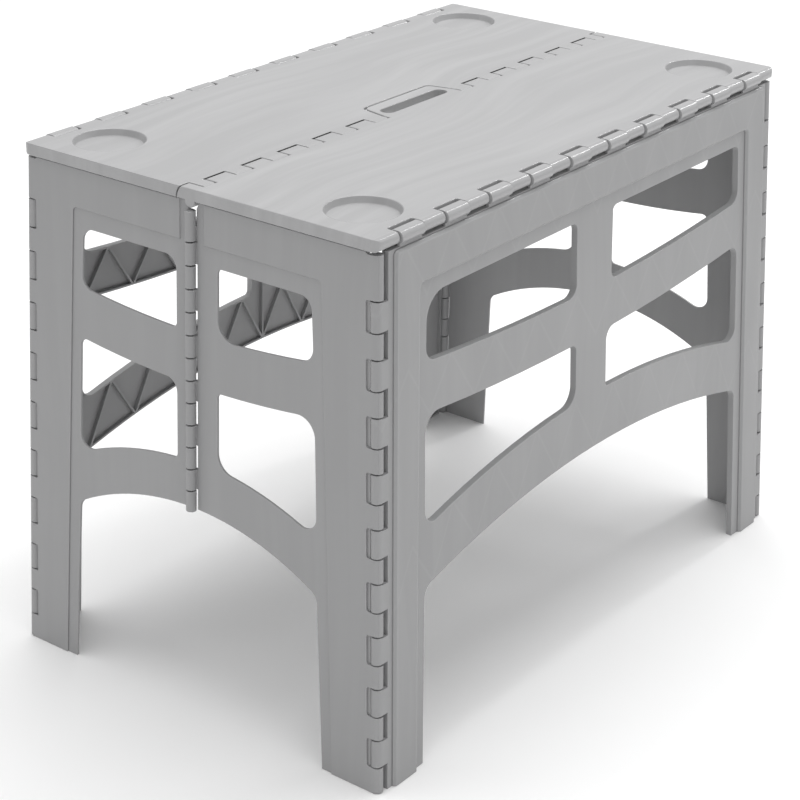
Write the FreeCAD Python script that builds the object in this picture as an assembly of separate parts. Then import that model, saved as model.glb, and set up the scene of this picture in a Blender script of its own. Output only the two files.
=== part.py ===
import FreeCAD, Part
import math
import os

os.makedirs("parts", exist_ok=True)
V = FreeCAD.Vector

# Driving dimensions, in millimetres and degrees.
# +Z is up, X runs along the long edge, and the origin is on the floor under the middle of the table.

# Table top
table_height = 550.0
top_length = 694.0
top_depth = 445.0
top_thickness = 12.0
top_skin = 3.2
top_corner_radius = 9.0
rim_wall = 2.6
rib_wall = 2.0
rib_setback = 1.5
cross_ribs = 11
long_ribs = 2
edge_strip = 19.5
edge_roll_radius = 6.0
edge_roll_setback = 2.2
centre_strip = 20.0
seam_gap = 0.8

# Cup recesses, wider at the mouth than at the floor
cup_radius = 36.0
cup_floor_radius = 33.5
cup_depth = 6.8
cup_round = 1.5
cup_end_offset = 57.0
cup_edge_offset = 64.5

# Panels: their lean, and their place under the top
side_lean = 2.18
end_lean = 2.5
side_inset = 4.2
end_inset = 2.63
side_head_gap = 2.0
end_head_gap = 0.8
side_skin = 2.8
end_skin = 4.0
fold_room = 0.5

# Hinge rods and their bores
rod_radius = 2.0
rod_clearance = 0.1
rod_end_cover = 4.0
knuckle_gap = 1.4
barrel_clearance = 0.5
rod_middle_gap = 4.0

# Long edge hinges, side panel to top
edge_axis_depth = 5.2
edge_tabs = 10
edge_tab_length = 33.0
edge_tab_pitch = 66.3
edge_tab_wall = 3.4
edge_tab_radius = 6.2
edge_room = 2.0
edge_room_round = 2.5

# Centre hinge of the top
centre_axis_depth = 12.5
finger_radius = 13.6
cheek_radius = 16.0
finger_clearance = 1.3
finger_boss_radius = 6.2
finger_count = 5
finger_first = 96.6
finger_pitch = 51.85
finger_length = 27.0
cheek_length = 12.0
pivot_relief = 1.3

# Carrying handle between the two halves of the top
handle_half_width = 60.0
handle_half_tip = 53.0
handle_reach = 31.0
handle_gap = 2.0
handle_corner = 8.0
hand_slot_length = 102.0
hand_slot_width = 16.0
hand_slot_offset = 8.0

# Corner hinges, side panel to end panel
corner_radius = 5.8
corner_tabs = 9
corner_tab_first = 42.5
corner_tab_last = 58.3
corner_tab_length = 28.0
corner_tab_wall = 3.4
corner_foot_lift = 1.0
knuckle_slit = 2.5
tab_room = 2.8
tab_room_depth = 2.2
tab_room_round = 3.0

# Centre hinges of the end panels
bead_radius = 5.2
bead_head_gap = 1.7
bead_overhang = 2.3
bead_segments = 13

# Rounds of the window corners
window_round_big = 28.0
window_round_wide = 20.0
window_round = 14.0
window_round_small = 8.0
window_round_tight = 5.0

# Side panel openings, from the head of the panel down
side_leg = 70.0
side_head_rail = 56.5
side_upper_window = 77.0
side_mid_rail = 51.0
side_mid_rail_curve = 2900.0
side_lower_window = 64.0
side_low_rail = 60.0
side_arch_curve = 1090.0
post_left = 35.0
post_right_upper = 28.0
post_right_lower = 20.0

# Raised band round the side panel
band_height = 4.0
band_bevel = 2.5
band_flange = 7.0
band_leg_width = 36.0
band_head_margin = 1.5
band_window_margin = 14.5
band_round = 5.0

# Ribs on the inner face of the side panel
stiffener = 2.2
brace_wall = 2.4
braces_per_half = 8

# End panel openings, from the head of the panel down
end_leg_foot = 71.0
end_leg_top = 78.0
end_head_rail = 58.2
end_upper_window = 71.0
end_mid_rail = 53.5
end_mid_rail_curve = 1100.0
end_arch_drop = 128.5
end_arch_curve = 310.0

# The two kinds of end half panel differ in their windows
first_window_inner = 31.0
first_low_rail = 51.0
second_window_inner = 21.0
second_low_rail = 48.0

# Window field of the end panel, lower than the band along its head and leg
field_depth = 1.5
field_head_margin = 19.0
field_centre_margin = 15.0
field_leg_margin = 13.0
field_round = 5.0

# Notch over the end hinge, which clears the centre hinge of the top
notch_half_width = 11.0
notch_depth = 13.7

# Derived places
half_length = top_length / 2
half_depth = top_depth / 2
under_top = table_height - top_thickness
sin_side = math.sin(math.radians(side_lean))
cos_side = math.cos(math.radians(side_lean))
tan_side = sin_side / cos_side
sin_end = math.sin(math.radians(end_lean))
cos_end = math.cos(math.radians(end_lean))
tan_end = sin_end / cos_end
side_floor = half_depth - side_inset + under_top * tan_side
end_floor = half_length - end_inset + under_top * tan_end
side_depth = 2 * corner_radius - end_skin - fold_room
edge_axis_z = table_height - edge_axis_depth
centre_axis_z = table_height - centre_axis_depth
fold_offset = centre_axis_depth - edge_axis_depth
bead_out = fold_offset - corner_radius
edge_axis_y = side_floor - edge_axis_z * tan_side - corner_radius / cos_side
side_sheet_edge = 2 * corner_radius + knuckle_slit
far = 4 * top_length

# Heights on the side panel
side_top = under_top - side_head_gap
side_window_top = side_top - side_head_rail
side_mid_top = side_window_top - side_upper_window
side_mid_base = side_mid_top - side_mid_rail
side_low_top = side_mid_base - side_lower_window
side_arch_top = side_low_top - side_low_rail
corner_tab_pitch = (side_top - corner_tab_first - corner_tab_last) / (corner_tabs - 1)

# Heights on the end panel
end_top = under_top - end_head_gap
end_window_top = end_top - end_head_rail
end_mid_top = end_window_top - end_upper_window
end_mid_base = end_mid_top - end_mid_rail
end_arch_top = end_mid_base - end_arch_drop
notch_floor = end_top - notch_depth
bead_top = notch_floor - bead_head_gap
bead_bottom = end_arch_top - bead_overhang


def side_face(height):
    # Distance of the side panel's outer face from the middle plane.
    return side_floor - height * tan_side


def end_face(height):
    # Distance of the end panel's outer face from the middle plane.
    return end_floor - height * tan_end


# Shape helpers

def outline(start, *steps):
    # Closed flat face in XY. A step is an end point, or a pair of points for an arc through the first.
    edges = []
    here = V(*start)
    for step in steps + (start,):
        if isinstance(step[0], tuple):
            through, end = V(*step[0]), V(*step[1])
            edges.append(Part.Arc(here, through, end).toShape())
        else:
            end = V(*step)
            if (end - here).Length > 1e-6:
                edges.append(Part.makeLine(here, end))
        here = end
    return Part.Face(Part.Wire(edges))


def slab(face, low, high):
    # Prism of a flat face between two levels along its normal direction Z.
    base = face.copy()
    base.translate(V(0, 0, low))
    return base.extrude(V(0, 0, high - low))


def soften(prism, *corners):
    # Rounds the upright edges of a prism. Each corner is (x, y, radius).
    for x, y, radius in corners:
        upright = [e for e in prism.Edges if abs(e.tangentAt(e.FirstParameter).z) > 0.99]
        nearest = min(upright, key=lambda e: math.hypot(e.CenterOfMass.x - x, e.CenterOfMass.y - y))
        prism = prism.makeFillet(radius, [nearest])
    return prism


def box(x0, x1, y0, y1, z0, z1):
    return Part.makeBox(x1 - x0, y1 - y0, z1 - z0, V(x0, y0, z0))


def placed(shape, frame):
    copy = shape.copy()
    copy.Placement = frame.multiply(copy.Placement)
    return copy


def flipped(shape, normal):
    return shape.mirror(V(0, 0, 0), normal)


def turned(shape):
    # The same shape, half a turn round the upright axis.
    copy = shape.copy()
    copy.rotate(V(0, 0, 0), V(0, 0, 1), 180)
    return copy


def axes(origin, x_axis, y_axis, z_axis):
    return FreeCAD.Placement(origin, FreeCAD.Rotation(x_axis, y_axis, z_axis, "ZXY"))


def rod_at(point, direction, length, slack):
    # Hinge rod, or its bore when slack is the room all round it.
    return Part.makeCylinder(rod_radius + slack, length + 2 * slack, point - direction * slack, direction)


def barrel_at(point, direction, length, radius):
    return Part.makeCylinder(radius, length, point, direction)


def joined(first, others):
    return first.fuse(others).removeSplitter()


def leaf(radius, wall, reach):
    # Hinge barrel round the origin with a strap that leaves its upper side along +X.
    inner = radius - wall
    turn = math.acos(inner / radius)
    back = (radius * math.sin(turn), inner)
    return outline((reach, radius), (0, radius), ((-radius, 0), (0, -radius)),
                   ((radius * 0.8, -radius * 0.6), back), (reach, inner))


def curve_at(base, radius, x):
    # Height over the lowest point of a shallow arc of the given radius, at x from its middle.
    return base + radius - math.sqrt(radius * radius - x * x)


def arch_at(crown, radius, x):
    return 2 * crown - curve_at(crown, radius, x)


# Frames of the panels: x along the panel, y up its slope, z out of its outer face
side_out = V(0, -cos_side, sin_side)
side_frame = axes(V(0, -side_floor, 0), V(1, 0, 0), V(0, sin_side, cos_side), side_out)
corner_out = V(-cos_end, 0, sin_end)
end_frame = axes(V(-end_floor, 0, 0), V(0, -1, 0), V(sin_end, 0, cos_end), corner_out)

# Frame of the left front corner hinge: z along its rod, y out of the end panel, x towards its middle
corner_foot = V(-end_floor + corner_radius / cos_end, -side_floor + corner_radius / cos_side, 0)
corner_up = V(tan_end, tan_side, 1).normalize()
corner_frame = axes(corner_foot, corner_out.cross(corner_up), corner_out, corner_up)

# Frame of the rooms for the corner tabs: x away from the end panel's middle, y up the rod, z out of the panel
room_frame = axes(corner_foot, corner_up.cross(corner_out), corner_up, corner_out)
corner_stretch = math.sqrt(1 + tan_end ** 2 + tan_side ** 2)

# Frame for a profile drawn in (y, z), which is then swept along X
stand_frame = axes(V(0, 0, 0), V(0, 1, 0), V(0, 0, 1), V(1, 0, 0))

floor_block = box(-far, far, -far, far, -far, 0)


def along_x(face, low, high):
    return placed(slab(face, low, high), stand_frame)


def corner_tab_span(index):
    middle = (corner_tab_first + index * corner_tab_pitch) * corner_stretch
    return middle - corner_tab_length / 2, middle + corner_tab_length / 2


def corner_knuckle_spans():
    # Spans of the end panel's knuckles, which fill the room between the side panel's tabs.
    spans = [corner_tab_span(i) for i in range(corner_tabs)]
    starts = [corner_foot_lift] + [high + knuckle_gap for low, high in spans]
    ends = [low - knuckle_gap for low, high in spans] + [(side_top - knuckle_gap) * corner_stretch]
    return list(zip(starts, ends))


def corner_rod(slack):
    low = corner_foot_lift + rod_end_cover
    high = (side_top - knuckle_gap) * corner_stretch - rod_end_cover
    return placed(rod_at(V(0, 0, low), V(0, 0, 1), high - low, slack), corner_frame)


def edge_tab_spans():
    first = -edge_tab_pitch * (edge_tabs - 1) / 2
    middles = [first + i * edge_tab_pitch for i in range(edge_tabs)]
    return [(m - edge_tab_length / 2, m + edge_tab_length / 2) for m in middles]


def edge_rods(slack):
    # The two rods in the front long edge, left and right.
    near = rod_middle_gap / 2
    length = half_length - rod_end_cover - near
    hands = (-1, 1)
    return [rod_at(V(hand * near, -edge_axis_y, edge_axis_z), V(hand, 0, 0), length, slack) for hand in hands]


# Side panel

def side_edge(height):
    # Half length of the side panel's sheet at a height.
    return end_face(height) - side_sheet_edge / cos_end


def side_leg_edge(height):
    return end_face(height) - side_leg


def side_mid_curve(base, x):
    return curve_at(base, side_mid_rail_curve, x)


def side_upper_opening(post, rounds, grow, low, high):
    # Upper window on the right of the front side panel, grown by a margin all round.
    # The rounds are those of the inner head, inner sill, outer sill and outer head.
    sill = side_mid_top - grow
    head = side_window_top + grow
    inner = post - grow
    outer_sill = side_leg_edge(sill) + grow
    outer_head = side_leg_edge(head) + grow
    mid = (inner + outer_sill) / 2
    face = outline((inner, head), (inner, side_mid_curve(sill, inner)),
                   ((mid, side_mid_curve(sill, mid)), (outer_sill, side_mid_curve(sill, outer_sill))),
                   (outer_head, head))
    places = [(inner, head), (inner, sill), (outer_sill, sill), (outer_head, head)]
    corners = [(x, y, radius + grow) for (x, y), radius in zip(places, rounds)]
    return soften(slab(face, low, high), *corners)


def side_lower_opening(post, rounds, grow, low, high):
    # Lower window on the right of the front side panel, in the same way.
    head = side_mid_base + grow
    crown = side_low_top - grow
    inner = post - grow
    outer_sill = side_leg_edge(crown - side_low_rail / 2) + grow
    outer_head = side_leg_edge(head) + grow
    mid = (inner + outer_sill) / 2

    def sill(x):
        return arch_at(crown, side_arch_curve, x)

    inner_top = (inner, side_mid_curve(head, inner))
    outer_top = (outer_head, side_mid_curve(head, outer_head))
    face = outline(inner_top, (inner, sill(inner)), ((mid, sill(mid)), (outer_sill, sill(outer_sill))),
                   outer_top, ((mid, side_mid_curve(head, mid)), inner_top))
    places = [inner_top, (inner, crown), (outer_sill, sill(outer_sill)), outer_top]
    corners = [(x, y, radius + grow) for (x, y), radius in zip(places, rounds)]
    return soften(slab(face, low, high), *corners)


def side_windows(grow, low, high):
    # The four windows of the front side panel as prisms, each grown by a margin all round.
    upper_left = (window_round_small, window_round, window_round, window_round_big)
    upper_right = (window_round_small, window_round_small, window_round, window_round_small)
    lower_left = (window_round_small, window_round_wide, window_round, window_round_wide)
    lower_right = (window_round, window_round_tight, window_round, window_round)
    left = [side_upper_opening(post_left, upper_left, grow, low, high),
            side_lower_opening(post_left, lower_left, grow, low, high)]
    right = [side_upper_opening(post_right_upper, upper_right, grow, low, high),
             side_lower_opening(post_right_lower, lower_right, grow, low, high)]
    return [flipped(window, V(1, 0, 0)) for window in left] + right


def side_sheet(margin, low, high):
    # The side panel's sheet with its arch, drawn in by a margin all round.
    foot_out = side_edge(0) - margin
    head_out = side_edge(side_top) - margin
    foot_in = side_leg_edge(0) + margin
    shoulder = side_leg_edge(side_arch_top - side_low_rail / 2) + margin
    crown = side_arch_top + margin
    spring = arch_at(crown, side_arch_curve, shoulder)
    head = side_top - margin
    face = outline((-foot_out, margin), (-foot_in, margin), (-shoulder, spring),
                   ((0, crown), (shoulder, spring)), (foot_in, margin), (foot_out, margin),
                   (head_out, head), (-head_out, head))
    corner = window_round + margin
    return soften(slab(face, low, high), (-shoulder, spring, corner), (shoulder, spring, corner))


def brace(x0, y0, x1, y1):
    # Thin upright rib between two points on the inner face.
    length = math.hypot(x1 - x0, y1 - y0)
    rib = box(0, length, -brace_wall / 2, brace_wall / 2, -side_depth, 0)
    rib.rotate(V(0, 0, 0), V(0, 0, 1), math.degrees(math.atan2(y1 - y0, x1 - x0)))
    rib.translate(V(x0, y0, 0))
    return rib


def side_braces():
    # Zigzag ribs along the head and both rails, and the upright rib on the post.
    step = side_leg_edge(side_window_top) / braces_per_half

    def zigzag(bottom, top):
        ribs = []
        for i in range(braces_per_half):
            x0, x1 = i * step, (i + 1) * step
            rising = i % 2 == 0
            y0 = bottom(x0) if rising else top(x0)
            y1 = top(x1) if rising else bottom(x1)
            ribs.append(brace(x0, y0, x1, y1))
            ribs.append(brace(-x0, y0, -x1, y1))
        return ribs

    ribs = zigzag(lambda x: side_window_top, lambda x: side_top)
    ribs += zigzag(lambda x: side_mid_curve(side_mid_base, x), lambda x: side_mid_curve(side_mid_top, x))
    ribs += zigzag(lambda x: arch_at(side_arch_top, side_arch_curve, x),
                   lambda x: arch_at(side_low_top, side_arch_curve, x))
    ribs.append(brace(0, side_arch_top, 0, side_top))
    return ribs


def side_band():
    # Raised band along both legs and under the top, shaped like an upside-down U with sloping sides.
    top = side_top - band_head_margin
    bottom = side_window_top + band_window_margin

    def outer(height):
        return side_edge(height) - band_flange

    def inner(height):
        return outer(height) - band_leg_width

    face = outline((-outer(0), 0), (-inner(0), 0), (-inner(bottom), bottom),
                   (inner(bottom), bottom), (inner(0), 0), (outer(0), 0),
                   (outer(top), top), (-outer(top), top))
    prism = slab(face, -side_skin / 2, band_height)
    corners = [(hand * inner(bottom), bottom, band_round) for hand in (-1, 1)]
    corners += [(hand * outer(top), top, band_round) for hand in (-1, 1)]
    prism = soften(prism, *corners)
    front = [e for e in prism.Edges if e.BoundBox.ZMin > band_height - 0.01 and e.BoundBox.YMax > 1]
    return prism.makeChamfer(band_bevel, front)


def edge_tabs_front():
    # Tabs that rise from the side panel round the long edge rods, thicker at their outer roll.
    inner_y, outer_y = -edge_axis_y, edge_tab_radius - half_depth
    roll_z = table_height - edge_tab_radius
    roll = outline((inner_y, edge_axis_z - edge_axis_depth),
                   ((inner_y + edge_axis_depth, edge_axis_z), (inner_y, table_height)),
                   (outer_y, table_height),
                   ((-half_depth, roll_z), (outer_y, roll_z - edge_tab_radius)))
    root = side_top - 2 * edge_tab_wall
    low_out, high_out = -side_face(root), -side_face(edge_axis_z)
    strap = outline((low_out, root), (high_out, edge_axis_z), (high_out + edge_tab_wall, edge_axis_z),
                    (low_out + edge_tab_wall, root))
    return [along_x(face, low, high) for low, high in edge_tab_spans() for face in (roll, strap)]


def side_panel():
    body = side_sheet(0, -side_depth, 0)
    rims = side_windows(stiffener, -side_depth, 0)
    pocket = side_sheet(stiffener, -side_depth, -side_skin).cut(rims + side_braces())
    body = body.cut(pocket).cut(side_windows(0, -side_depth, 0))
    body = placed(joined(body, [side_band()]), side_frame)
    tab = leaf(corner_radius, corner_tab_wall, side_sheet_edge - corner_radius + corner_tab_wall)
    tab = flipped(tab, V(0, 1, 0))
    tab.rotate(V(0, 0, 0), V(0, 0, 1), -90)
    left = [placed(slab(tab, *corner_tab_span(i)), corner_frame) for i in range(corner_tabs)]
    right = [flipped(shape, V(1, 0, 0)) for shape in left]
    body = joined(body, left + right + edge_tabs_front())
    bore = corner_rod(rod_clearance)
    return body.cut([bore, flipped(bore, V(1, 0, 0)), floor_block] + edge_rods(rod_clearance))


# End half panels

def end_edge(height):
    # Distance of the corner rod's line from the middle plane, at a height.
    return side_face(height) - corner_radius / cos_side


def end_leg_edge(height):
    share = height / end_top
    return side_face(height) - end_leg_foot - share * (end_leg_top - end_leg_foot)


def end_windows(inner, low_rail, upper_rounds, lower_rounds):
    # Upper and lower window of the left front end half panel.
    # The rounds are those of the inner head, inner sill, outer sill and outer head.
    low_top = end_arch_top + low_rail
    upper_low = end_leg_edge(end_mid_top)
    upper_high = end_leg_edge(end_window_top)
    lower_low = end_leg_edge(low_top - low_rail / 2)
    lower_high = end_leg_edge(end_mid_base)
    mid = (inner + upper_low) / 2

    def smile(base, x):
        return curve_at(base, end_mid_rail_curve, x)

    def arch(x):
        return arch_at(low_top, end_arch_curve + low_rail, x)

    upper = outline((inner, end_window_top), (inner, smile(end_mid_top, inner)),
                    ((mid, smile(end_mid_top, mid)), (upper_low, smile(end_mid_top, upper_low))),
                    (upper_high, end_window_top))
    upper_places = [(inner, end_window_top), (inner, end_mid_top), (upper_low, end_mid_top),
                    (upper_high, end_window_top)]
    inner_top = (inner, smile(end_mid_base, inner))
    outer_top = (lower_high, smile(end_mid_base, lower_high))
    lower = outline(inner_top, (inner, arch(inner)), ((mid, arch(mid)), (lower_low, arch(lower_low))),
                    outer_top, ((mid, smile(end_mid_base, mid)), inner_top))
    lower_places = [inner_top, (inner, arch(inner)), (lower_low, arch(lower_low)), outer_top]
    windows = []
    for face, places, rounds in ((upper, upper_places, upper_rounds), (lower, lower_places, lower_rounds)):
        corners = [(x, y, radius) for (x, y), radius in zip(places, rounds)]
        windows.append(soften(slab(face, -end_skin, 0), *corners))
    return windows


def first_windows():
    rounds = (window_round_tight, window_round_wide, window_round)
    return end_windows(first_window_inner, first_low_rail, rounds + (window_round,),
                       rounds + (window_round_wide,))


def second_windows():
    rounds = (window_round, window_round_tight, window_round)
    return end_windows(second_window_inner, second_low_rail, rounds + (window_round,),
                       rounds + (window_round_small,))


def end_field():
    # Lower field round the windows and the middle hinge, inside the band along the head and the leg.
    top = end_window_top + field_head_margin

    def outer(height):
        return end_leg_edge(height) + field_leg_margin

    face = outline((0, 0), (outer(0), 0), (outer(top), top), (field_centre_margin, top),
                   (field_centre_margin, end_top), (0, end_top))
    return soften(slab(face, -field_depth, 0), (outer(top), top, field_round))


def tab_rooms():
    # Rooms beside the end half panel's knuckles for the side panel's tabs.
    # Each is a rounded notch in the outer face, with a web behind it that keeps clear of the tab's barrel.
    spans = corner_knuckle_spans()
    inner = -corner_radius - tab_room
    lows = [high for low, high in spans]
    highs = [low for low, high in spans[1:]] + [far]
    rooms = []
    for low, high in zip(lows, highs):
        face = outline((inner, low), (far, low), (far, high), (inner, high))
        notch = slab(face, corner_radius - tab_room_depth, 2 * corner_radius)
        notch = soften(notch, (inner, low, tab_room_round), (inner, high, tab_room_round))
        rooms.append(placed(notch, room_frame))
        swing = barrel_at(V(0, low, 0), V(0, 1, 0), high - low, corner_radius + barrel_clearance)
        rooms.append(placed(swing, room_frame))
    return rooms


def bead_span(index):
    step = (bead_top - bead_bottom) / bead_segments / cos_end
    high = bead_top / cos_end - index * step
    return high - step + knuckle_gap / 2, high - knuckle_gap / 2


def bead_rod(slack):
    low = bead_bottom / cos_end + rod_end_cover
    high = bead_top / cos_end - rod_end_cover
    return rod_at(V(0, low, bead_out), V(0, 1, 0), high - low, slack)


def end_half(first_bead, windows):
    # Left front end half panel. It owns every second bead of the middle hinge, from first_bead.
    near = bead_radius + barrel_clearance
    shoulder = end_leg_edge(end_arch_top - end_skin)
    spring = arch_at(end_arch_top, end_arch_curve, shoulder)
    half = shoulder / 2
    face = outline((near, arch_at(end_arch_top, end_arch_curve, near)),
                   ((half, arch_at(end_arch_top, end_arch_curve, half)), (shoulder, spring)),
                   (end_leg_edge(0), 0), (end_edge(0), 0), (end_edge(end_top), end_top),
                   (notch_half_width, end_top), (notch_half_width, notch_floor), (near, notch_floor))
    body = soften(slab(face, -end_skin, 0), (shoulder, spring, window_round))
    body = body.cut(windows + [end_field()])
    strap = near + end_skin
    beads = []
    for index in range(first_bead, bead_segments, 2):
        low, high = bead_span(index)
        beads.append(barrel_at(V(0, low, bead_out), V(0, 1, 0), high - low, bead_radius))
        beads.append(box(0, strap, low, high, -end_skin, -field_depth))
    body = joined(body, beads)
    body = placed(body.cut(bead_rod(rod_clearance)), end_frame).cut(tab_rooms())
    knuckle = leaf(corner_radius, end_skin, corner_radius)
    knuckles = [placed(slab(knuckle, low, high), corner_frame) for low, high in corner_knuckle_spans()]
    body = joined(body, knuckles)
    return body.cut([corner_rod(rod_clearance), floor_block])


# Top halves

def finger_spans():
    # Spans of the front half's fingers on the right of the handle, then of the rear half's.
    middles = [finger_first + i * finger_pitch for i in range(finger_count)]
    front = [(middle - finger_length / 2, middle + finger_length / 2) for middle in middles]
    rear_starts = [handle_half_width + handle_gap] + [high + knuckle_gap for low, high in front]
    rear_ends = [low - knuckle_gap for low, high in front] + [half_length - cheek_length - knuckle_gap]
    return front, list(zip(rear_starts, rear_ends))


def both_hands(spans):
    return spans + [(-high, -low) for low, high in spans]


def finger(radius, low, high):
    # Finger of the front half, which reaches over the centre rod, with its boss below.
    reach_low = math.sqrt(radius ** 2 - (under_top - centre_axis_z) ** 2)
    reach_high = math.sqrt(radius ** 2 - centre_axis_depth ** 2)
    angle = (math.asin((under_top - centre_axis_z) / radius) + math.asin(centre_axis_depth / radius)) / 2
    through = (radius * math.cos(angle), centre_axis_z + radius * math.sin(angle))
    nose = outline((-centre_strip, under_top), (reach_low, under_top),
                   (through, (reach_high, table_height)), (-centre_strip, table_height))
    boss = barrel_at(V(low, 0, centre_axis_z), V(1, 0, 0), high - low, finger_boss_radius)
    return along_x(nose, low, high).fuse(boss)


def finger_room(radius, low, high):
    # Room that one half leaves for a finger of the other half.
    start = V(low - knuckle_gap, 0, centre_axis_z)
    return barrel_at(start, V(1, 0, 0), high - low + 2 * knuckle_gap, radius + finger_clearance)


def tongue(grow, low, high):
    # Handle tongue of the front half, grown by a margin for the cut-out round it.
    wide, tip, reach = handle_half_width + grow, handle_half_tip + grow, handle_reach + grow
    face = outline((-wide, -centre_strip), (wide, -centre_strip), (wide, 0),
                   (tip, reach), (-tip, reach), (-wide, 0))
    return soften(slab(face, low, high), (tip, reach, handle_corner), (-tip, reach, handle_corner))


def hand_slot():
    radius = hand_slot_width / 2
    straight = hand_slot_length / 2 - radius
    low, high = hand_slot_offset - radius, hand_slot_offset + radius
    right, left = (straight + radius, hand_slot_offset), (-straight - radius, hand_slot_offset)
    face = outline((-straight, low), (straight, low), (right, (straight, high)), (-straight, high),
                   (left, (-straight, low)))
    return slab(face, under_top - top_thickness, table_height + top_thickness)


def top_blank():
    # Front half of the top with its rolled long edge, before the hinges are cut.
    edge = edge_roll_setback - half_depth
    roll_y, roll_z = edge + edge_roll_radius, table_height - edge_roll_radius
    profile = outline((-edge_axis_y, under_top), (-seam_gap / 2, under_top), (-seam_gap / 2, table_height),
                      (roll_y, table_height), ((edge, roll_z), (roll_y, roll_z - edge_roll_radius)))
    plan = outline((-half_length, edge), (half_length, edge), (half_length, 0), (-half_length, 0))
    plan = soften(slab(plan, under_top, table_height), (-half_length, edge, top_corner_radius),
                  (half_length, edge, top_corner_radius))
    return along_x(profile, -half_length, half_length).common(plan)


def edge_rooms():
    # Notches in the long edge for the side panel's tabs, rounded at their inner corners.
    back = edge_axis_depth + edge_room - edge_axis_y
    rooms = []
    for low, high in edge_tab_spans():
        start, end = low - knuckle_gap, high + knuckle_gap
        face = outline((start, -half_depth), (end, -half_depth), (end, back), (start, back))
        rooms.append(soften(slab(face, under_top, table_height), (start, back, edge_room_round),
                            (end, back, edge_room_round)))
    return rooms


def cup(place):
    # Recess with a sloping wall and a rounded floor edge.
    floor = place + V(0, 0, table_height - cup_depth)
    bowl = Part.makeCone(cup_floor_radius, cup_radius, cup_depth, floor)
    rim = [e for e in bowl.Edges if e.BoundBox.ZMax < table_height - cup_depth + 0.01]
    return bowl.makeFillet(cup_round, rim)


def cup_places():
    y = cup_edge_offset - half_depth
    return [V(hand * (half_length - cup_end_offset), y, 0) for hand in (-1, 1)]


def top_pocket():
    # Hollow under the skin, less the ribs and the floors of the cup recesses.
    ceiling = table_height - top_skin
    x1 = half_length - rim_wall
    y0, y1 = edge_strip - half_depth, -centre_strip
    pocket = box(-x1, x1, y0, y1, under_top, ceiling)
    low = under_top + rib_setback
    ribs = []
    for i in range(1, cross_ribs + 1):
        x = -x1 + i * 2 * x1 / (cross_ribs + 1)
        ribs.append(box(x - rib_wall / 2, x + rib_wall / 2, y0, y1, low, ceiling))
    for i in range(1, long_ribs + 1):
        y = y0 + i * (y1 - y0) / (long_ribs + 1)
        ribs.append(box(-x1, x1, y - rib_wall / 2, y + rib_wall / 2, low, ceiling))
    for place in cup_places():
        floor = table_height - cup_depth - top_skin
        ribs.append(Part.makeCylinder(cup_radius + top_skin, ceiling - floor, place + V(0, 0, floor)))
    return pocket.cut(ribs)


def top_half(own, other, own_cheeks):
    # Front half of the top with its own fingers, and room for those of the other half.
    body = top_blank().cut(top_pocket())
    cups = [cup(place) for place in cup_places()]
    cheeks = both_hands([(half_length - cheek_length, half_length)])
    rooms = [finger_room(finger_radius, low, high) for low, high in both_hands(other)]
    if not own_cheeks:
        rooms += [finger_room(cheek_radius, low, high) for low, high in cheeks]
    body = body.cut(cups + edge_rooms() + rooms)
    fingers = [finger(finger_radius, low, high) for low, high in both_hands(own)]
    if own_cheeks:
        fingers += [finger(cheek_radius, low, high) for low, high in cheeks]
    body = joined(body, fingers)
    return body.cut(edge_rods(rod_clearance))


def centre_rods(slack):
    # The two rods of the top's centre hinge, left and right of the handle.
    near = handle_half_width + handle_gap + rod_end_cover
    length = half_length - rod_end_cover - near
    return [rod_at(V(hand * near, 0, centre_axis_z), V(hand, 0, 0), length, slack) for hand in (-1, 1)]


def top_front():
    front, rear = finger_spans()
    body = top_half(front, rear, True)
    body = joined(body, [tongue(0, under_top, table_height)])
    return body.cut(centre_rods(rod_clearance) + [hand_slot()])


def top_rear():
    front, rear = finger_spans()
    own = [(-high, -low) for low, high in rear]
    other = [(-high, -low) for low, high in front]
    body = top_half(own, other, False)
    body = turned(body).cut(tongue(handle_gap, under_top - top_thickness, table_height + top_thickness))
    # The bores of this half are wider, because the fold's exact path leaves the rod's line a little.
    shift = pivot_relief / math.sqrt(2)
    bores = centre_rods(rod_clearance + pivot_relief)
    for bore in bores:
        bore.translate(V(0, shift, shift))
    return body.cut(bores)


# Build every piece and write it

front_side = side_panel()
left_front_end = end_half(1, first_windows())
left_rear_end = flipped(end_half(0, second_windows()), V(0, 1, 0))
edge_rod_left, edge_rod_right = edge_rods(0)
centre_rod_left, centre_rod_right = centre_rods(0)
left_front_rod = corner_rod(0)
left_rear_rod = flipped(left_front_rod, V(0, 1, 0))
left_end_rod = placed(bead_rod(0), end_frame)

pieces = {
    "top_front": top_front(),
    "top_rear": top_rear(),
    "side_front": front_side,
    "side_rear": turned(front_side),
    "end_left_front": left_front_end,
    "end_left_rear": left_rear_end,
    "end_right_front": turned(left_rear_end),
    "end_right_rear": turned(left_front_end),
    "edge_rod_front_left": edge_rod_left,
    "edge_rod_front_right": edge_rod_right,
    "edge_rod_rear_left": turned(edge_rod_right),
    "edge_rod_rear_right": turned(edge_rod_left),
    "centre_rod_left": centre_rod_left,
    "centre_rod_right": centre_rod_right,
    "corner_rod_left_front": left_front_rod,
    "corner_rod_left_rear": left_rear_rod,
    "corner_rod_right_front": turned(left_rear_rod),
    "corner_rod_right_rear": turned(left_front_rod),
    "end_rod_left": left_end_rod,
    "end_rod_right": turned(left_end_rod),
}

for name, shape in pieces.items():
    shape.exportStep("parts/" + name + ".step")
    size = shape.BoundBox
    print(name, len(shape.Solids), "solid", shape.isValid(), round(shape.Volume / 1000, 1), "cm3",
          [round(v, 1) for v in (size.XMin, size.XMax, size.YMin, size.YMax, size.ZMin, size.ZMax)])
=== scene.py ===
import math

import bmesh
import bpy
from mathutils import Matrix, Vector


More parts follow.
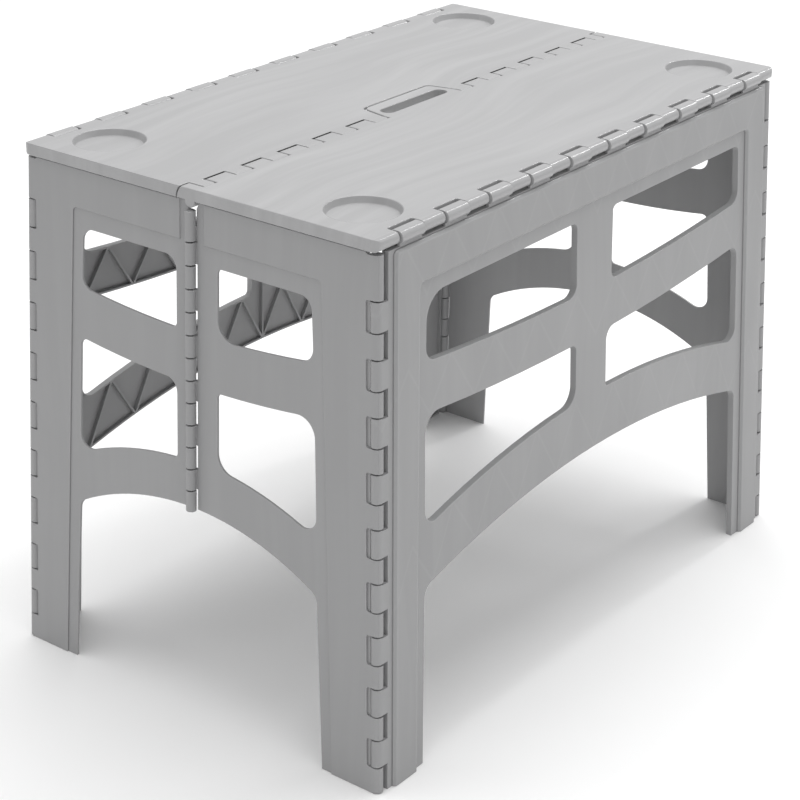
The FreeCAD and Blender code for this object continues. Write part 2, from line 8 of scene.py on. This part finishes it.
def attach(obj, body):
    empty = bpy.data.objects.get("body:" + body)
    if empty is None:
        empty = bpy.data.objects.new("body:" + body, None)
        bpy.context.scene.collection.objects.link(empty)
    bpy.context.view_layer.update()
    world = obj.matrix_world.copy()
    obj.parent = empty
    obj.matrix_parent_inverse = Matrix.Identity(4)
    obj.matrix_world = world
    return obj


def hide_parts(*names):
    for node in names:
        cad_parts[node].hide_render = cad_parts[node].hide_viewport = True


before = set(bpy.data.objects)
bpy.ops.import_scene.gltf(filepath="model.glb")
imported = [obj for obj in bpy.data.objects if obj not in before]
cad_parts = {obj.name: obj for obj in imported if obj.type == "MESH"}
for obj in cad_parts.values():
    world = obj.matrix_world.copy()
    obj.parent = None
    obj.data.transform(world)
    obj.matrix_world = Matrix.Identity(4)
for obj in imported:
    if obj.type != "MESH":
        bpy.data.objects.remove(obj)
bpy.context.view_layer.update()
scene = bpy.context.scene
scene.view_settings.view_transform = "Standard"
print("frame loaded:", len(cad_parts), "nodes")


# Node helpers

def addNode(tree, kind, values=None, **settings):
    node = tree.nodes.new(kind)
    for name, value in settings.items():
        setattr(node, name, value)
    for socket, value in (values or {}).items():
        node.inputs[socket].default_value = value
    return node


def newGroup(name, inputs, outputs):
    group = bpy.data.node_groups.new(name, "ShaderNodeTree")
    for label, kind, default in inputs:
        socket = group.interface.new_socket(name=label, in_out="INPUT", socket_type=kind)
        socket.default_value = default
    for label, kind in outputs:
        group.interface.new_socket(name=label, in_out="OUTPUT", socket_type=kind)
    start = group.nodes.new("NodeGroupInput")
    end = group.nodes.new("NodeGroupOutput")
    return group, start, end


# Effects that several plastics share

def makeMouldGrain():
    # fine spark-eroded grain of the mould, with soft unevenness of the wall behind it
    group, start, end = newGroup(
        "mouldGrain",
        [("Grain Scale", "NodeSocketFloat", 900.0), ("Wave Scale", "NodeSocketFloat", 7.0)],
        [("Height", "NodeSocketFloat"), ("Gloss", "NodeSocketFloat")],
    )
    link = group.links.new
    place = addNode(group, "ShaderNodeTexCoord")
    grain = addNode(group, "ShaderNodeTexNoise", {"Detail": 3.0, "Roughness": 0.6})
    wave = addNode(group, "ShaderNodeTexNoise", {"Detail": 2.0, "Roughness": 0.45})
    scaled = addNode(group, "ShaderNodeMath", {1: 0.16}, operation="MULTIPLY")
    total = addNode(group, "ShaderNodeMath", operation="ADD")
    gloss = addNode(group, "ShaderNodeMapRange", {"From Min": 0.3, "From Max": 0.7})
    link(place.outputs["Object"], grain.inputs["Vector"])
    link(place.outputs["Object"], wave.inputs["Vector"])
    link(start.outputs["Grain Scale"], grain.inputs["Scale"])
    link(start.outputs["Wave Scale"], wave.inputs["Scale"])
    link(grain.outputs[0], scaled.inputs[0])
    link(scaled.outputs[0], total.inputs[0])
    link(wave.outputs[0], total.inputs[1])
    link(wave.outputs[0], gloss.inputs["Value"])
    link(total.outputs[0], end.inputs["Height"])
    link(gloss.outputs[0], end.inputs["Gloss"])
    return group


def makeFlowStreaks():
    # pale lines where the plastic flowed through the mould
    group, start, end = newGroup(
        "flowStreaks",
        [("Turn", "NodeSocketVector", (0.0, 0.0, 0.0)), ("Along", "NodeSocketVector", (1.0, 1.0, 1.0)),
         ("Bend", "NodeSocketFloat", 0.3)],
        [("Mask", "NodeSocketFloat")],
    )
    link = group.links.new
    place = addNode(group, "ShaderNodeTexCoord")
    drift = addNode(group, "ShaderNodeTexNoise", {"Scale": 3.2, "Detail": 1.0})
    push = addNode(group, "ShaderNodeVectorMath", operation="SCALE")
    bent = addNode(group, "ShaderNodeVectorMath", operation="ADD")
    turned = addNode(group, "ShaderNodeMapping", vector_type="POINT")
    lines = addNode(group, "ShaderNodeTexNoise", {"Scale": 1.0, "Detail": 4.0, "Roughness": 0.62})
    sharp = addNode(group, "ShaderNodeMapRange", {"From Min": 0.42, "From Max": 0.72})
    link(place.outputs["Object"], drift.inputs["Vector"])
    link(drift.outputs["Color"], push.inputs[0])
    link(start.outputs["Bend"], push.inputs["Scale"])
    link(place.outputs["Object"], bent.inputs[0])
    link(push.outputs[0], bent.inputs[1])
    link(bent.outputs[0], turned.inputs["Vector"])
    link(start.outputs["Turn"], turned.inputs["Rotation"])
    link(start.outputs["Along"], turned.inputs["Scale"])
    link(turned.outputs[0], lines.inputs["Vector"])
    link(lines.outputs[0], sharp.inputs["Value"])
    link(sharp.outputs[0], end.inputs["Mask"])
    return group


def makeSinkLines():
    # faint zigzag on a rail's outer face, where the ribs behind it draw the wall in as it cools
    group, start, end = newGroup(
        "sinkLines",
        [("Step", "NodeSocketFloat", 0.0346), ("Base", "NodeSocketFloat", 0.35),
         ("Rise", "NodeSocketFloat", 0.05), ("Curve", "NodeSocketFloat", 0.17),
         ("Width", "NodeSocketFloat", 0.004)],
        [("Mask", "NodeSocketFloat")],
    )
    link = group.links.new
    place = addNode(group, "ShaderNodeTexCoord")
    split = addNode(group, "ShaderNodeSeparateXYZ")
    square = addNode(group, "ShaderNodeMath", {1: 2.0}, operation="POWER")
    width = addNode(group, "ShaderNodeMath", operation="ABSOLUTE")
    swing = addNode(group, "ShaderNodeMath", operation="PINGPONG")
    share = addNode(group, "ShaderNodeMath", operation="DIVIDE")
    climb = addNode(group, "ShaderNodeMath", operation="MULTIPLY_ADD")
    bent = addNode(group, "ShaderNodeMath", operation="MULTIPLY_ADD")
    off = addNode(group, "ShaderNodeMath", operation="SUBTRACT")
    near = addNode(group, "ShaderNodeMath", operation="ABSOLUTE")
    soft = addNode(group, "ShaderNodeMapRange", {"To Min": 1.0, "To Max": 0.0}, interpolation_type="SMOOTHSTEP")
    link(place.outputs["Object"], split.inputs[0])
    link(split.outputs["X"], width.inputs[0])
    link(width.outputs[0], square.inputs[0])
    link(width.outputs[0], swing.inputs[0])
    link(start.outputs["Step"], swing.inputs[1])
    link(swing.outputs[0], share.inputs[0])
    link(start.outputs["Step"], share.inputs[1])
    link(share.outputs[0], climb.inputs[0])
    link(start.outputs["Rise"], climb.inputs[1])
    link(start.outputs["Base"], climb.inputs[2])
    link(square.outputs[0], bent.inputs[0])
    link(start.outputs["Curve"], bent.inputs[1])
    link(climb.outputs[0], bent.inputs[2])
    link(split.outputs["Z"], off.inputs[0])
    link(bent.outputs[0], off.inputs[1])
    link(off.outputs[0], near.inputs[0])
    link(near.outputs[0], soft.inputs["Value"])
    link(start.outputs["Width"], soft.inputs["From Max"])
    link(soft.outputs["Result"], end.inputs["Mask"])
    return group


mouldGrain = makeMouldGrain()
flowStreaks = makeFlowStreaks()
sinkLines = makeSinkLines()


# Grey moulded plastic. One entry per finish, since the streaks run another way on each panel; the top is given
# a lighter colour than the panels as painted light from above, and the panels' darker colour is painted shade.
plasticBase = {"ior": 1.49, "grainDepth": 0.0006, "sinkAmount": 0.4}
plasticFinishes = {
    "topPlastic": {
        "colour": (0.372, 0.372, 0.376), "streak": (0.47, 0.47, 0.475), "streakAmount": 0.5,
        "turn": (0.0, 0.0, math.radians(50)), "along": (2.4, 44.0, 5.0), "bend": 0.14,
        "rough": (0.36, 0.50), "grain": 1100.0, "bump": 0.05,
    },
    "sidePlastic": {
        "colour": (0.328, 0.328, 0.332), "streak": (0.368, 0.368, 0.372), "streakAmount": 0.5,
        "turn": (0.0, 0.0, 0.0), "along": (42.0, 8.0, 2.2), "bend": 0.05,
        "rough": (0.38, 0.52), "grain": 1000.0, "bump": 0.05,
        "rails": [(0.4795, 0.0565, 0.0), (0.3515, 0.051, 0.172), (0.2275, 0.060, -0.459)],  # base, rise, curve
    },
    "endPlastic": {
        "colour": (0.328, 0.328, 0.332), "streak": (0.36, 0.36, 0.364), "streakAmount": 0.5,
        "turn": (0.0, 0.0, 0.0), "along": (8.0, 46.0, 2.0), "bend": 0.05,
        "rough": (0.40, 0.54), "grain": 1000.0, "bump": 0.05,
    },
    # painted highlight: rounded upper edges and the rolls take this lighter colour, together with a real higher
    # gloss
    "edgeGlossHighlightPlastic": {
        "colour": (0.38, 0.38, 0.384), "streak": (0.42, 0.42, 0.425), "streakAmount": 0.4,
        "turn": (0.0, 0.0, 0.0), "along": (60.0, 60.0, 60.0), "bend": 0.0,
        "rough": (0.13, 0.19), "grain": 1400.0, "bump": 0.02,
    },
    # painted shade: the hollow edges take this dark colour for the shade that gathers in the grooves
    "grooveShadePlastic": {
        "colour": (0.20, 0.20, 0.203), "streak": (0.25, 0.25, 0.253), "streakAmount": 0.5,
        "turn": (0.0, 0.0, 0.0), "along": (60.0, 60.0, 60.0), "bend": 0.0,
        "rough": (0.5, 0.65), "grain": 1400.0, "bump": 0.04,
    },
}


def makePlastic(name):
    spec = plasticFinishes[name]
    material = bpy.data.materials.new(name)
    material.use_nodes = True
    tree = material.node_tree
    link = tree.links.new
    shader = tree.nodes["Principled BSDF"]
    grain = addNode(tree, "ShaderNodeGroup", node_tree=mouldGrain)
    grain.inputs["Grain Scale"].default_value = spec["grain"]
    streaks = addNode(tree, "ShaderNodeGroup", node_tree=flowStreaks)
    streaks.inputs["Turn"].default_value = spec["turn"]
    streaks.inputs["Along"].default_value = spec["along"]
    streaks.inputs["Bend"].default_value = spec["bend"]
    share = addNode(tree, "ShaderNodeMath", {1: spec["streakAmount"]}, operation="MULTIPLY")
    tint = addNode(tree, "ShaderNodeMix", data_type="RGBA")
    tint.inputs["A"].default_value = (*spec["colour"], 1.0)
    tint.inputs["B"].default_value = (*spec["streak"], 1.0)
    rough = addNode(tree, "ShaderNodeMapRange", {"To Min": spec["rough"][0], "To Max": spec["rough"][1]})
    bump = addNode(tree, "ShaderNodeBump", {"Strength": spec["bump"], "Distance": plasticBase["grainDepth"]})
    link(streaks.outputs["Mask"], share.inputs[0])
    lastMask = share
    for base, rise, curve in spec.get("rails", []):
        sink = addNode(tree, "ShaderNodeGroup", node_tree=sinkLines)
        sink.inputs["Base"].default_value = base
        sink.inputs["Rise"].default_value = rise
        sink.inputs["Curve"].default_value = curve
        paler = addNode(tree, "ShaderNodeMath", {1: plasticBase["sinkAmount"]}, operation="MULTIPLY_ADD")
        link(sink.outputs["Mask"], paler.inputs[0])
        link(lastMask.outputs[0], paler.inputs[2])
        lastMask = paler
    link(lastMask.outputs[0], tint.inputs["Factor"])
    link(tint.outputs["Result"], shader.inputs["Base Color"])
    link(grain.outputs["Gloss"], rough.inputs["Value"])
    link(rough.outputs[0], shader.inputs["Roughness"])
    link(grain.outputs["Height"], bump.inputs["Height"])
    link(bump.outputs[0], shader.inputs["Normal"])
    shader.inputs["IOR"].default_value = plasticBase["ior"]
    return material


rodFinish = {"colour": (0.17, 0.17, 0.175), "dark": (0.11, 0.11, 0.115), "rough": (0.4, 0.55), "grain": 900.0}


def makeRodSteel():
    # steel, darkened as painted shade so that the rods seen in the gaps under the top read as dark as shade,
    # with a fine grain
    material = bpy.data.materials.new("shadedRodSteel")
    material.use_nodes = True
    tree = material.node_tree
    link = tree.links.new
    shader = tree.nodes["Principled BSDF"]
    place = addNode(tree, "ShaderNodeTexCoord")
    specks = addNode(tree, "ShaderNodeTexNoise", {"Scale": rodFinish["grain"], "Detail": 3.0})
    tint = addNode(tree, "ShaderNodeMix", data_type="RGBA")
    tint.inputs["A"].default_value = (*rodFinish["dark"], 1.0)
    tint.inputs["B"].default_value = (*rodFinish["colour"], 1.0)
    smooth, dull = rodFinish["rough"]
    rough = addNode(tree, "ShaderNodeMapRange", {"To Min": smooth, "To Max": dull})
    link(place.outputs["Object"], specks.inputs["Vector"])
    link(specks.outputs[0], tint.inputs["Factor"])
    link(tint.outputs["Result"], shader.inputs["Base Color"])
    link(specks.outputs[0], rough.inputs["Value"])
    link(rough.outputs[0], shader.inputs["Roughness"])
    shader.inputs["Metallic"].default_value = 1.0
    return material


plastics = {name: makePlastic(name) for name in plasticFinishes}
shadedRodSteel = makeRodSteel()
print("materials made:", len(plastics) + 1)


# Moulded panels: each is the solid with its edges broken, as a mould leaves them.
# "parts" are the places where wide faces are parted. "floor", "lean" and "skin" say where the outer face is.
panelEdges = {
    "topPlastic": {"break": 0.0009, "sharpest": 52.0, "across": (1, 0, 0), "parts": (-0.29, 0.0, 0.29)},
    "sidePlastic": {"break": 0.0006, "sharpest": 38.0, "across": (1, 0, 0), "parts": (-0.15, 0.15),
                    "faces": 1, "floor": 0.238779, "lean": 2.18, "skin": 0.001},
    "endPlastic": {"break": 0.0006, "sharpest": 38.0, "across": (0, 1, 0), "parts": (-0.09, 0.09),
                   "faces": 0, "floor": 0.367859, "lean": 2.5, "skin": 0.0018},
}
sideWall = {"floor": 0.35373, "slope": 0.04367, "near": 0.0008}  # the corner walls, full of narrow webs
topSkin = {"fromZ": 0.5485, "endX": 0.3465, "cup": (0.29, 0.158), "cupWall": 0.0354}
edgeRolls = {"fromY": 0.2072, "fromZ": 0.5365}
panelMaking = {
    "merge": 0.000002, "flatWithin": 0.4, "cutSteps": 3,  # joins the solid's triangles and rounds its edges
    "manyCorners": 40, "wideFace": 0.0004, "evenWeight": 80,  # faces to part, and square metres shaded flat
    "hollowTurn": -0.15, "facesDown": -0.1, "rollDown": -0.3,  # which faces take which coat
}
ownCoat, edgeGlossHighlightCoat, grooveShadeCoat = 0, 1, 2
panelPieces = {
    "topFrontHalf": ("top_front", "front_top", "topPlastic"),
    "topRearHalf": ("top_rear", "rear_top", "topPlastic"),
    "sidePanelFront": ("side_front", "front_side", "sidePlastic"),
    "sidePanelRear": ("side_rear", "rear_side", "sidePlastic"),
    "endPanelLeftFront": ("end_left_front", "left_front_end", "endPlastic"),
    "endPanelLeftRear": ("end_left_rear", "left_rear_end", "endPlastic"),
    "endPanelRightFront": ("end_right_front", "right_front_end", "endPlastic"),
    "endPanelRightRear": ("end_right_rear", "right_rear_end", "endPlastic"),
}


# The hinge notch at the head of each end, drawn in close to the boss of the centre hinge above it
hingeNotch = {
    "halfWidth": 0.011, "closedTo": 0.0070, "cornerRaise": 0.0115,
    "beadRoom": 0.0057, "beadTo": 0.0048, "beadRaise": 0.0075,
    "fromZ": 0.5205, "headZ": 0.53, "lean": 2.5, "slack": 0.0005,
}


def closeNotch(form):
    spec = hingeNotch
    lean = math.radians(spec["lean"])
    slack = spec["slack"]
    for vert in form.verts:
        if abs(vert.co.y) > spec["halfWidth"] + slack or vert.co.z < spec["fromZ"]:
            continue
        atCorner = abs(vert.co.y) > spec["halfWidth"] - slack
        if vert.co.z < spec["headZ"]:
            inward = -math.copysign(1.0, vert.co.x)
            rise = spec["cornerRaise"] if atCorner else spec["beadRaise"]
            vert.co.x += inward * math.sin(lean) * rise
            vert.co.z += math.cos(lean) * rise
        if atCorner:
            vert.co.y = math.copysign(spec["closedTo"], vert.co.y)
        elif abs(abs(vert.co.y) - spec["beadRoom"]) < slack:
            vert.co.y = math.copysign(spec["beadTo"], vert.co.y)


def onRoll(middle):
    return abs(middle.y) > edgeRolls["fromY"] and middle.z > edgeRolls["fromZ"]


def isOuter(middle, finish):
    # only the edges that a hand can reach are rounded over, not those of the ribs behind
    if onRoll(middle):
        return True
    if finish == "topPlastic":
        fromCup = math.hypot(abs(middle.x) - topSkin["cup"][0], abs(middle.y) - topSkin["cup"][1])
        onFace = middle.z > topSkin["fromZ"] and fromCup > topSkin["cupWall"]
        return onFace or abs(middle.x) > topSkin["endX"]
    if finish == "sidePlastic":
        fromWall = abs(middle.x) - (sideWall["floor"] - sideWall["slope"] * middle.z)
        if abs(fromWall) < sideWall["near"]:
            return False
    panel = panelEdges[finish]
    lean = math.radians(panel["lean"])
    inside = panel["floor"] - middle.z * math.tan(lean) - abs(middle[panel["faces"]])
    return inside * math.cos(lean) < panel["skin"]


def partFaces(form, finish):
    # wide flat faces are parted through their windows, cups and slot, so that each fills cleanly
    across = Vector(panelEdges[finish]["across"])
    for place in panelEdges[finish]["parts"]:
        wide = [face for face in form.faces if len(face.verts) > panelMaking["manyCorners"]]
        rims = dict.fromkeys(edge for face in wide for edge in face.edges)
        ends = dict.fromkeys(vert for edge in rims for vert in edge.verts)
        bmesh.ops.bisect_plane(form, geom=[*wide, *rims, *ends], dist=0.000001,
                               plane_co=across * place, plane_no=across)


def mergedCopy(node, name, finish):
    mesh = bpy.data.meshes.new(name)
    form = bmesh.new()
    form.from_mesh(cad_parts[node].data)
    bmesh.ops.remove_doubles(form, verts=form.verts, dist=panelMaking["merge"])
    flat = math.radians(panelMaking["flatWithin"])
    bmesh.ops.dissolve_limit(form, angle_limit=flat, verts=form.verts, edges=form.edges)
    if finish == "endPlastic":
        closeNotch(form)
    weight = form.edges.layers.float.new("bevel_weight_edge")
    sharpest = math.radians(panelEdges[finish]["sharpest"])
    for edge in form.edges:
        middle = (edge.verts[0].co + edge.verts[1].co) / 2
        if edge.calc_face_angle(0.0) > sharpest and isOuter(middle, finish):
            edge[weight] = 1.0
    form.to_mesh(mesh)
    form.free()
    return mesh


def finishFaces(mesh, finish):
    # hollow edges take the groove coat, a dark painted shade, and upper edges and the rolls of the long edges
    # the polished coat, whose lighter colour is a painted highlight
    form = bmesh.new()
    form.from_mesh(mesh)
    partFaces(form, finish)
    sharpest = math.radians(panelEdges[finish]["sharpest"])
    for edge in form.edges:
        edge.smooth = edge.calc_face_angle(0.0) < sharpest
    for face in form.faces:
        isRounded = face.material_index == edgeGlossHighlightCoat
        face.smooth = isRounded or face.calc_area() < panelMaking["wideFace"]
        if isRounded:
            turn = sum(edge.calc_face_angle_signed(0.0) for edge in face.edges)
            if turn < panelMaking["hollowTurn"]:
                face.material_index = grooveShadeCoat
            elif face.normal.z < panelMaking["facesDown"]:
                face.material_index = ownCoat
        elif finish != "endPlastic" and face.normal.z > panelMaking["rollDown"]:
            if onRoll(face.calc_center_median()):
                face.material_index = edgeGlossHighlightCoat
                face.smooth = True
    manySided = [face for face in form.faces if len(face.verts) > 4]
    bmesh.ops.triangulate(form, faces=manySided, ngon_method="BEAUTY")
    form.to_mesh(mesh)
    form.free()


def evenOut(piece):
    # wide faces keep flat shading right up to the rounded edges
    even = piece.modifiers.new("evenShading", "WEIGHTED_NORMAL")
    even.keep_sharp = True
    even.weight = panelMaking["evenWeight"]
    solved = piece.evaluated_get(bpy.context.evaluated_depsgraph_get())
    mesh = bpy.data.meshes.new_from_object(solved)
    piece.modifiers.clear()
    mesh.name, piece.data.name = piece.data.name, piece.data.name + "Plain"
    piece.data = mesh


def makePanel(name, node, body, finish):
    blank = bpy.data.objects.new(name + "Blank", mergedCopy(node, name + "Blank", finish))
    scene.collection.objects.link(blank)
    for coat in (finish, "edgeGlossHighlightPlastic", "grooveShadePlastic"):  # in the order of ownCoat, edgeGlossHighlightCoat and grooveShadeCoat
        blank.data.materials.append(plastics[coat])
    cut = blank.modifiers.new("brokenEdges", "BEVEL")
    cut.width = panelEdges[finish]["break"]
    cut.segments = panelMaking["cutSteps"]
    cut.limit_method = "WEIGHT"
    cut.use_clamp_overlap = False
    # bevel faces take the polished coat, lighter as a painted highlight; finishFaces moves the hollow ones to
    # the painted shade coat
    cut.material = edgeGlossHighlightCoat
    solved = blank.evaluated_get(bpy.context.evaluated_depsgraph_get())
    mesh = bpy.data.meshes.new_from_object(solved)
    bpy.data.objects.remove(blank)
    mesh.name = name
    finishFaces(mesh, finish)
    piece = bpy.data.objects.new(name, mesh)
    scene.collection.objects.link(piece)
    evenOut(piece)
    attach(piece, body)
    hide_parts(node)
    return piece


for pieceName, (node, body, finish) in panelPieces.items():
    made = makePanel(pieceName, node, body, finish)
    print("panel", pieceName, len(made.data.polygons), "faces")

# Hinge rods keep the solid's own mesh
rods = [node for nodeName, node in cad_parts.items() if "_rod_" in nodeName]
for rod in rods:
    rod.data.materials.clear()
    rod.data.materials.append(shadedRodSteel)
print("rods finished:", len(rods))


# Round marks that the ejector pins of the mould leave in the ribs' cells under the top
pinMarks = {
    "columns": 12, "rows": 3, "cell": (0.0573, 0.061), "middleY": 0.1115, "ceiling": 0.5468,
    "radius": 0.0032, "height": 0.0006, "sides": 24, "cup": (0.29, 0.158), "cupClear": 0.046,
    "halves": {"pinMarksFront": ("front_top", -1), "pinMarksRear": ("rear_top", 1)},
}


def makePinTree():
    tree = bpy.data.node_groups.new("pinMarks", "GeometryNodeTree")
    sockets = [
        ("Columns", "NodeSocketInt"), ("Rows", "NodeSocketInt"), ("Length", "NodeSocketFloat"),
        ("Depth", "NodeSocketFloat"), ("Middle", "NodeSocketVector"), ("Mark Radius", "NodeSocketFloat"),
        ("Mark Height", "NodeSocketFloat"), ("Cup", "NodeSocketVector"), ("Cup Clear", "NodeSocketFloat"),
        ("Finish", "NodeSocketMaterial"),
    ]
    for label, kind in sockets:
        tree.interface.new_socket(name=label, in_out="INPUT", socket_type=kind)
    tree.interface.new_socket(name="Marks", in_out="OUTPUT", socket_type="NodeSocketGeometry")
    link = tree.links.new
    start = addNode(tree, "NodeGroupInput")
    end = addNode(tree, "NodeGroupOutput")
    grid = addNode(tree, "GeometryNodeMeshGrid")
    shifted = addNode(tree, "GeometryNodeTransform")
    where = addNode(tree, "GeometryNodeInputPosition")
    folded = addNode(tree, "ShaderNodeVectorMath", operation="ABSOLUTE")  # all four cups in one corner
    gap = addNode(tree, "ShaderNodeVectorMath", operation="DISTANCE")
    close = addNode(tree, "FunctionNodeCompare", data_type="FLOAT", operation="LESS_THAN")
    kept = addNode(tree, "GeometryNodeDeleteGeometry", domain="POINT")
    points = addNode(tree, "GeometryNodeMeshToPoints")
    disc = addNode(tree, "GeometryNodeMeshCylinder", {"Vertices": pinMarks["sides"]})
    placedDiscs = addNode(tree, "GeometryNodeInstanceOnPoints")
    real = addNode(tree, "GeometryNodeRealizeInstances")
    coat = addNode(tree, "GeometryNodeSetMaterial")
    link(start.outputs["Columns"], grid.inputs["Vertices X"])
    link(start.outputs["Rows"], grid.inputs["Vertices Y"])
    link(start.outputs["Length"], grid.inputs["Size X"])
    link(start.outputs["Depth"], grid.inputs["Size Y"])
    link(grid.outputs["Mesh"], shifted.inputs["Geometry"])
    link(start.outputs["Middle"], shifted.inputs["Translation"])
    link(where.outputs[0], folded.inputs[0])
    link(folded.outputs[0], gap.inputs[0])
    link(start.outputs["Cup"], gap.inputs[1])
    link(gap.outputs["Value"], close.inputs["A"])
    link(start.outputs["Cup Clear"], close.inputs["B"])
    link(shifted.outputs["Geometry"], kept.inputs["Geometry"])
    link(close.outputs["Result"], kept.inputs["Selection"])
    link(kept.outputs["Geometry"], points.inputs["Mesh"])
    link(start.outputs["Mark Radius"], disc.inputs["Radius"])
    link(start.outputs["Mark Height"], disc.inputs["Depth"])
    link(points.outputs["Points"], placedDiscs.inputs["Points"])
    link(disc.outputs["Mesh"], placedDiscs.inputs["Instance"])
    link(placedDiscs.outputs["Instances"], real.inputs["Geometry"])
    link(real.outputs["Geometry"], coat.inputs["Geometry"])
    link(start.outputs["Finish"], coat.inputs["Material"])
    link(coat.outputs["Geometry"], end.inputs["Marks"])
    return tree


def makePinMarks(tree, name, body, side):
    spec = pinMarks
    values = {
        "Columns": spec["columns"], "Rows": spec["rows"],
        "Length": (spec["columns"] - 1) * spec["cell"][0], "Depth": (spec["rows"] - 1) * spec["cell"][1],
        "Middle": (0.0, side * spec["middleY"], spec["ceiling"]),
        "Mark Radius": spec["radius"], "Mark Height": spec["height"],
        "Cup": (*spec["cup"], spec["ceiling"]), "Cup Clear": spec["cupClear"],
        "Finish": plastics["edgeGlossHighlightPlastic"],
    }
    holder = bpy.data.objects.new(name + "Points", bpy.data.meshes.new(name + "Points"))
    scene.collection.objects.link(holder)
    nodes = holder.modifiers.new("pinMarks", "NODES")
    nodes.node_group = tree
    for socket in tree.interface.items_tree:
        if socket.in_out == "INPUT":
            nodes[socket.identifier] = values[socket.name]
    solved = holder.evaluated_get(bpy.context.evaluated_depsgraph_get())
    mesh = bpy.data.meshes.new_from_object(solved)
    bpy.data.objects.remove(holder)
    mesh.name = name
    piece = bpy.data.objects.new(name, mesh)
    scene.collection.objects.link(piece)
    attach(piece, body)
    return piece


pinTree = makePinTree()
for pieceName, (body, side) in pinMarks["halves"].items():
    made = makePinMarks(pinTree, pieceName, body, side)
    print("pin marks", pieceName, len(made.data.polygons), "faces")


# Studio: pale floor, soft lights and the camera
studio = {
    "floor": (0.97, 0.97, 0.97), "floorRough": 0.9, "floorSize": 14.0, "sky": 0.62,
    "overhead": {"power": 172.0, "size": (5.0, 5.0), "at": (0.7, 0.1, 4.5), "aim": (0.2, 0.0, 0.5)},
    "strip": {"power": 8.0, "size": (0.16, 1.0), "at": (2.0, -0.25, 2.05), "aim": (0.0, -0.2, 0.5)},
}


def makeFloor():
    mesh = bpy.data.meshes.new("floor")
    half = studio["floorSize"] / 2
    corners = [(-half, -half, 0), (half, -half, 0), (half, half, 0), (-half, half, 0)]
    mesh.from_pydata(corners, [], [(0, 1, 2, 3)])
    floor = bpy.data.objects.new("floor", mesh)
    scene.collection.objects.link(floor)
    material = bpy.data.materials.new("floorPaper")
    material.use_nodes = True
    shader = material.node_tree.nodes["Principled BSDF"]
    shader.inputs["Base Color"].default_value = (*studio["floor"], 1.0)
    shader.inputs["Roughness"].default_value = studio["floorRough"]
    mesh.materials.append(material)


def addLight(name):
    spec = studio[name]
    lamp = bpy.data.lights.new(name, "AREA")
    lamp.energy = spec["power"]
    lamp.shape = "RECTANGLE"
    lamp.size, lamp.size_y = spec["size"]
    light = bpy.data.objects.new(name, lamp)
    light.location = spec["at"]
    away = Vector(spec["at"]) - Vector(spec["aim"])
    light.rotation_euler = away.to_track_quat("Z", "Y").to_euler()
    scene.collection.objects.link(light)


def makeSky():
    world = bpy.data.worlds.new("studioSky")
    world.use_nodes = True
    shade = world.node_tree.nodes["Background"]
    shade.inputs["Color"].default_value = (1.0, 1.0, 1.0, 1.0)
    shade.inputs["Strength"].default_value = studio["sky"]
    scene.world = world


camera = {
    "at": (-1.6986, -1.2903, 1.1952), "azimuth": 52.285, "elevation": 24.725, "roll": 0.444,
    "lens": 96.706, "sensor": 36.0,
}


def makeCamera():
    turn, tilt, roll = (math.radians(camera[k]) for k in ("azimuth", "elevation", "roll"))
    ahead = Vector((math.sin(turn) * math.cos(tilt), math.cos(turn) * math.cos(tilt), -math.sin(tilt)))
    across = ahead.cross(Vector((0, 0, 1))).normalized()
    upward = across.cross(ahead)
    right = math.cos(roll) * across + math.sin(roll) * upward
    top = math.cos(roll) * upward - math.sin(roll) * across
    lens = bpy.data.cameras.new("photoCamera")
    lens.sensor_width = camera["sensor"]
    lens.lens = camera["lens"]
    eye = bpy.data.objects.new("photoCamera", lens)
    pose = Matrix((right, top, -ahead)).transposed().to_4x4()
    pose.translation = Vector(camera["at"])
    eye.matrix_world = pose
    scene.collection.objects.link(eye)
    scene.camera = eye


makeFloor()
makeSky()
addLight("overhead")
addLight("strip")
makeCamera()
print("studio ready")
